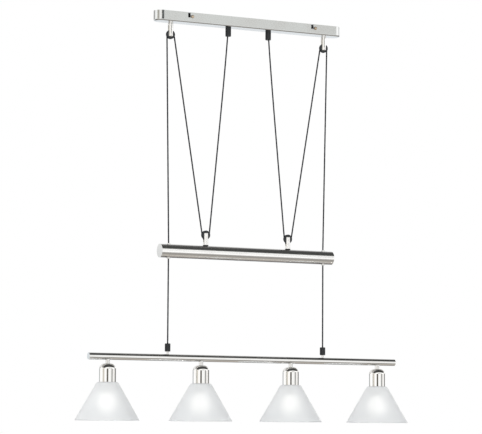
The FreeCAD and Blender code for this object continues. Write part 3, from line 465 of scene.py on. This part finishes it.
def cord_piece(name, line, bodies, share_at, nodes):
    """A cord of two strands twisted under one sleeve, closed at its ends, along a line in the XZ plane.

    It follows two bodies, each point by its own share of the second one, and stands for the nodes.
    """
    rings = evenly(line, RING_STEP)
    vertices, faces = [], []
    last = len(rings) - 1
    for number, (point, along) in enumerate(rings):
        way = (rings[min(number + 1, last)][0] - rings[max(number - 1, 0)][0]).normalized()
        side, up = Vector((0, 1, 0)), way.cross(Vector((0, 1, 0)))
        twist = 2 * math.pi * along / CORD_TWIST
        for corner in range(RING_SIDES):
            angle = 2 * math.pi * corner / RING_SIDES
            lobe = 1 - CORD_WAIST * (1 - math.cos(CORD_STRANDS * (angle - twist))) / 2
            vertices.append(point + (side * math.cos(angle) + up * math.sin(angle)) * CORD_RADIUS * lobe)
    for number in range(last):
        for corner in range(RING_SIDES):
            after = (corner + 1) % RING_SIDES
            low, high = number * RING_SIDES, (number + 1) * RING_SIDES
            faces.append((low + corner, low + after, high + after, high + corner))
    faces.append(tuple(range(RING_SIDES - 1, -1, -1)))
    faces.append(tuple(range(last * RING_SIDES, (last + 1) * RING_SIDES)))
    mesh = bpy.data.meshes.new(name)
    mesh.from_pydata(vertices, [], faces)
    mesh.polygons.foreach_set("use_smooth", [True] * (len(faces) - 2) + [False] * 2)
    mesh.materials.append(FINISHES["black_cord"])
    cord = bpy.data.objects.new(name, mesh)
    bpy.context.scene.collection.objects.link(cord)
    path = [tuple(point) for point, along in rings]
    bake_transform(cord, *bodies, start=path[0], end=path[-1])
    shares = [share_at(vertex) for vertex in vertices]
    mesh.attributes["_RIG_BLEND"].data.foreach_set("value", shares)
    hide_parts(*nodes)


def between(value, start, end):
    """How far a value is on its way from start to end, as 0 to 1."""
    return min(max((value - start) / (end - start), 0.0), 1.0)


def cords():
    """Each cord in two pieces: over the pulleys to the counterweight, and on from there to the lamp bar.

    Every straight stretch grows evenly along its length when the counterweight moves, and the parts that
    lie on a pulley keep to it.
    """
    for name, side in SIDES.items():
        ceiling, weight = middle(f"ceiling_pulley_{name}"), middle(f"weight_pulley_{name}")
        grip_low, grip_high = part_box(f"canopy_grip_{name}")
        grip_x = (grip_low.x + grip_high.x) / 2
        top, grip = Vector((grip_x, 0, grip_high.z)), Vector((grip_x, 0, grip_low.z))
        guide = Vector((ceiling.x, 0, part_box("guide_bushings")[1].z))
        bar = Vector((ceiling.x, 0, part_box(f"bar_grip_{name}")[1].z))
        inner_end = touch_point(weight, grip, -side)
        outer_low, outer_high = crossing(weight, ceiling, side)
        drop_start = touch_point(ceiling, guide, side)

        def beside(point, towards):
            return point + (towards - point).normalized() * TAUT_REACH

        route = [
            top, grip, beside(inner_end, grip),
            *round_pulley(weight, inner_end, outer_low, Vector((0, 0, -1))),
            beside(outer_low, outer_high), beside(outer_high, outer_low),
            *round_pulley(ceiling, outer_high, drop_start, Vector((0, 0, 1))),
            beside(drop_start, guide), guide,
        ]
        lowest = [inner_end.z, outer_low.z, guide.z]
        highest = [grip.z, outer_high.z, drop_start.z]

        def share(point):
            inner = side * point.x < side * weight.x
            drop = side * point.x > side * ceiling.x
            leg = 0 if inner else 2 if drop else 1
            return 1 - between(point.z, lowest[leg], highest[leg])

        def lower_share(point):
            return 1 - between(point.z, bar.z, guide.z)

        legs = ("inner_leg", "weight_bend", "outer_leg", "ceiling_bend", "drop")
        cord_piece(f"cord_{name}_over_pulleys", smooth_line(route), ("canopy", "weight"), share,
                   [f"cord_{name}_{leg}" for leg in legs])
        cord_piece(f"cord_{name}_to_bar", smooth_line([guide, (guide + bar) / 2, bar]), ("weight", "lamp"),
                   lower_share, [f"cord_{name}_lower"])


# ---------------------------------------------------------------- studio and camera

AMBIENT = 0.68  # the grey that dull surfaces see all round
STRIP_LIGHT = 1.17  # how much brighter than written below the strips and uprights are

# What shiny surfaces see, set after the reflections in the photograph.
# Strips that run along the bar, by the angle round it from the front, up and over
STRIPS = (
    (-180, (0.84, 0.87, 0.90)), (-155, (0.84, 0.87, 0.90)), (-147, (0.14, 0.14, 0.14)),
    (-127, (0.13, 0.12, 0.12)), (-112, (0.34, 0.32, 0.30)), (-100, (0.46, 0.42, 0.39)),
    (-84, (0.54, 0.51, 0.46)), (-73, (0.54, 0.51, 0.46)), (-64, (0.34, 0.325, 0.305)),
    (-31, (0.32, 0.31, 0.295)), (-26, (0.65, 0.64, 0.63)), (-21, (1.05, 1.05, 1.05)),
    (27, (1.05, 1.05, 1.05)), (32, (0.5, 0.5, 0.5)), (37, (0.06, 0.065, 0.06)),
    (80, (0.05, 0.05, 0.05)), (104, (0.10, 0.10, 0.10)), (122, (0.26, 0.26, 0.26)),
    (134, (0.60, 0.60, 0.60)), (150, (0.80, 0.80, 0.80)), (177, (0.80, 0.81, 0.81)),
    (180, (0.84, 0.87, 0.90)),
)
# Uprights that stand round the lamps, level with them, by the angle from the camera to its right
LAMP_UPRIGHTS = (
    (-180, (0.36, 0.36, 0.36)), (-135, (0.36, 0.36, 0.36)), (-131, (0.68, 0.73, 0.77)),
    (-123, (0.68, 0.73, 0.77)), (-118, (1.0, 1.0, 1.0)), (-80, (1.0, 1.0, 1.0)),
    (-66, (0.82, 0.81, 0.79)), (-58, (0.55, 0.52, 0.46)), (-50, (0.55, 0.52, 0.46)),
    (-41, (0.82, 0.79, 0.75)), (-32, (1.0, 1.0, 1.0)), (-9, (1.0, 1.0, 1.0)),
    (-6.5, (0.08, 0.07, 0.05)), (12, (0.10, 0.09, 0.08)), (16, (0.94, 0.95, 0.95)),
    (34, (0.95, 0.96, 0.96)), (44, (0.88, 0.89, 0.89)), (57, (0.92, 0.92, 0.92)),
    (60, (0.5, 0.5, 0.5)), (64, (0.22, 0.22, 0.21)), (73, (0.22, 0.22, 0.21)),
    (79, (0.75, 0.75, 0.75)), (92, (0.86, 0.86, 0.86)), (112, (0.96, 0.95, 0.94)),
    (120, (0.9, 0.9, 0.9)), (124, (0.14, 0.135, 0.13)), (170, (0.2, 0.2, 0.2)),
    (180, (0.36, 0.36, 0.36)),
)
# Uprights higher up, which the canopy sees
CANOPY_UPRIGHTS = (
    (-180, (0.75, 0.75, 0.75)), (-126, (0.42, 0.42, 0.41)), (-110, (0.50, 0.50, 0.49)),
    (-100, (1.15, 1.15, 1.15)), (-66, (1.32, 1.33, 1.33)), (-56, (0.92, 0.90, 0.84)),
    (-45, (0.48, 0.46, 0.41)), (-34, (0.48, 0.46, 0.41)), (-24, (0.80, 0.78, 0.75)),
    (-14, (1.2, 1.19, 1.17)), (9, (1.2, 1.18, 1.15)), (14, (0.9, 0.88, 0.85)),
    (18, (0.05, 0.05, 0.05)), (45, (0.04, 0.05, 0.05)), (48, (0.86, 0.87, 0.85)),
    (58, (0.86, 0.87, 0.85)), (59.5, (0.10, 0.10, 0.10)), (62.5, (0.10, 0.10, 0.10)),
    (66, (1.0, 1.0, 1.0)), (72, (1.4, 1.4, 1.4)), (98, (1.4, 1.4, 1.4)),
    (108, (0.92, 0.92, 0.93)), (122, (0.92, 0.92, 0.93)), (132, (1.1, 1.1, 1.1)),
    (180, (0.75, 0.75, 0.75)),
)
# The sine of the height at which the uprights begin, are full, are still full and end
LAMP_LEVEL = (-0.035, -0.01, 0.045, 0.07)
CANOPY_LEVEL = (0.09, 0.12, 0.235, 0.265)

FLOOR_HALF, FLOOR_LEVEL = 5.0, -1.85
# The place, width and power in watts of each light
LIGHTS = {
    "key_light": (Vector((-4.0, -2.5, 0.8)), 3.4, 104.0),
    "fill_light": (Vector((2.2, -1.8, -0.2)), 2.0, 18.0),
}
LIGHT_AIM = Vector((0.0, 0.0, -0.6))


def round_about(tree, direction, stops):
    """A colour that follows the angle of a direction in its XY plane through (degrees, colour) stops."""
    turn = add(tree, "ShaderNodeTexGradient", {"Vector": direction}, gradient_type="RADIAL").outputs["Fac"]
    return ramp(tree, turn, [(degrees / 360 + 0.5, colour) for degrees, colour in stops])


def level_with(tree, value, levels):
    """1 while the value is in the full part of the levels, and 0 outside them."""
    low, start, end, high = levels
    return calc(tree, "MULTIPLY", fade(tree, value, low, start), fade(tree, value, high, end))


def studio():
    """A white studio, whose strip lights, flags and uprights only show in shiny surfaces."""
    world = bpy.data.worlds.new("studio")
    bpy.context.scene.world = world
    world.use_nodes = True
    tree = world.node_tree
    way = add(tree, "ShaderNodeTexCoord").outputs["Generated"]
    parts = add(tree, "ShaderNodeSeparateXYZ", {"Vector": way}).outputs
    to_front = calc(tree, "MULTIPLY", parts["Y"], -1.0)
    across = add(tree, "ShaderNodeCombineXYZ", {"X": to_front, "Y": parts["Z"]}).outputs[0]
    inputs = {"Vector": way, "Angle": CAMERA_YAW + math.pi / 2}
    faced = add(tree, "ShaderNodeVectorRotate", inputs, rotation_type="Z_AXIS").outputs[0]
    shiny = round_about(tree, across, STRIPS)
    for levels, uprights in ((LAMP_LEVEL, LAMP_UPRIGHTS), (CANOPY_LEVEL, CANOPY_UPRIGHTS)):
        shiny = mix(tree, level_with(tree, parts["Z"], levels), shiny, round_about(tree, faced, uprights))
    path = add(tree, "ShaderNodeLightPath").outputs
    clear = calc(tree, "MAXIMUM", path["Is Camera Ray"], path["Is Transmission Ray"])
    colour = mix(tree, path["Is Glossy Ray"], (AMBIENT, AMBIENT, AMBIENT), shiny)
    bright = calc(tree, "MULTIPLY", path["Is Glossy Ray"], calc(tree, "SUBTRACT", 1.0, clear))
    background = tree.nodes["Background"]
    tree.links.new(mix(tree, clear, colour, (1.0, 1.0, 1.0)), background.inputs["Color"])
    strength = calc(tree, "MULTIPLY_ADD", bright, STRIP_LIGHT - 1.0, 1.0)
    tree.links.new(strength, background.inputs["Strength"])


def floor():
    """A pale floor, a good way under the lamps at their lowest, which doesn't hide them from below."""
    ways = ((-1, -1), (1, -1), (1, 1), (-1, 1))
    corners = [(x * FLOOR_HALF, y * FLOOR_HALF, FLOOR_LEVEL) for x, y in ways]
    mesh = bpy.data.meshes.new("floor")
    mesh.from_pydata(corners, [], [(0, 1, 2, 3)])
    thing = bpy.data.objects.new("floor", mesh)
    bpy.context.scene.collection.objects.link(thing)
    material, tree, shader = new_material("floor")
    connect(tree, shader, Base_Color=(0.82, 0.82, 0.815), Roughness=0.9)
    below = add(tree, "ShaderNodeNewGeometry").outputs["Backfacing"]
    above = calc(tree, "SUBTRACT", 1.0, below)
    tree.links.new(above, shader.inputs["Alpha"])
    mesh.materials.append(material)
    thing.visible_glossy = False


def softboxes():
    """The lights, which don't show in shiny surfaces."""
    for name, (place, width, power) in LIGHTS.items():
        light = bpy.data.lights.new(name, "AREA")
        light.size = width
        light.energy = power
        thing = bpy.data.objects.new(name, light)
        thing.location = place
        thing.rotation_mode = "QUATERNION"
        thing.rotation_quaternion = (LIGHT_AIM - place).to_track_quat("-Z", "Y")
        thing.visible_glossy = False
        bpy.context.scene.collection.objects.link(thing)


def camera():
    """The photograph's camera."""
    lens = bpy.data.cameras.new("camera")
    lens.lens = CAMERA_LENS
    lens.sensor_width = SENSOR_WIDTH
    lens.clip_start, lens.clip_end = NEAREST, FURTHEST
    thing = bpy.data.objects.new("camera", lens)
    level = math.cos(CAMERA_PITCH)
    ahead = (math.sin(CAMERA_YAW) * level, math.cos(CAMERA_YAW) * level, math.sin(CAMERA_PITCH))
    turn = Vector(ahead).to_track_quat("-Z", "Y").to_matrix() @ Matrix.Rotation(CAMERA_ROLL, 3, "Z")
    thing.matrix_world = Matrix.Translation(CAMERA_PLACE) @ turn.to_4x4()
    bpy.context.scene.collection.objects.link(thing)
    bpy.context.scene.camera = thing


finish_nodes()
cords()
studio()
floor()
softboxes()
camera()
bpy.context.scene.view_settings.view_transform = "Standard"
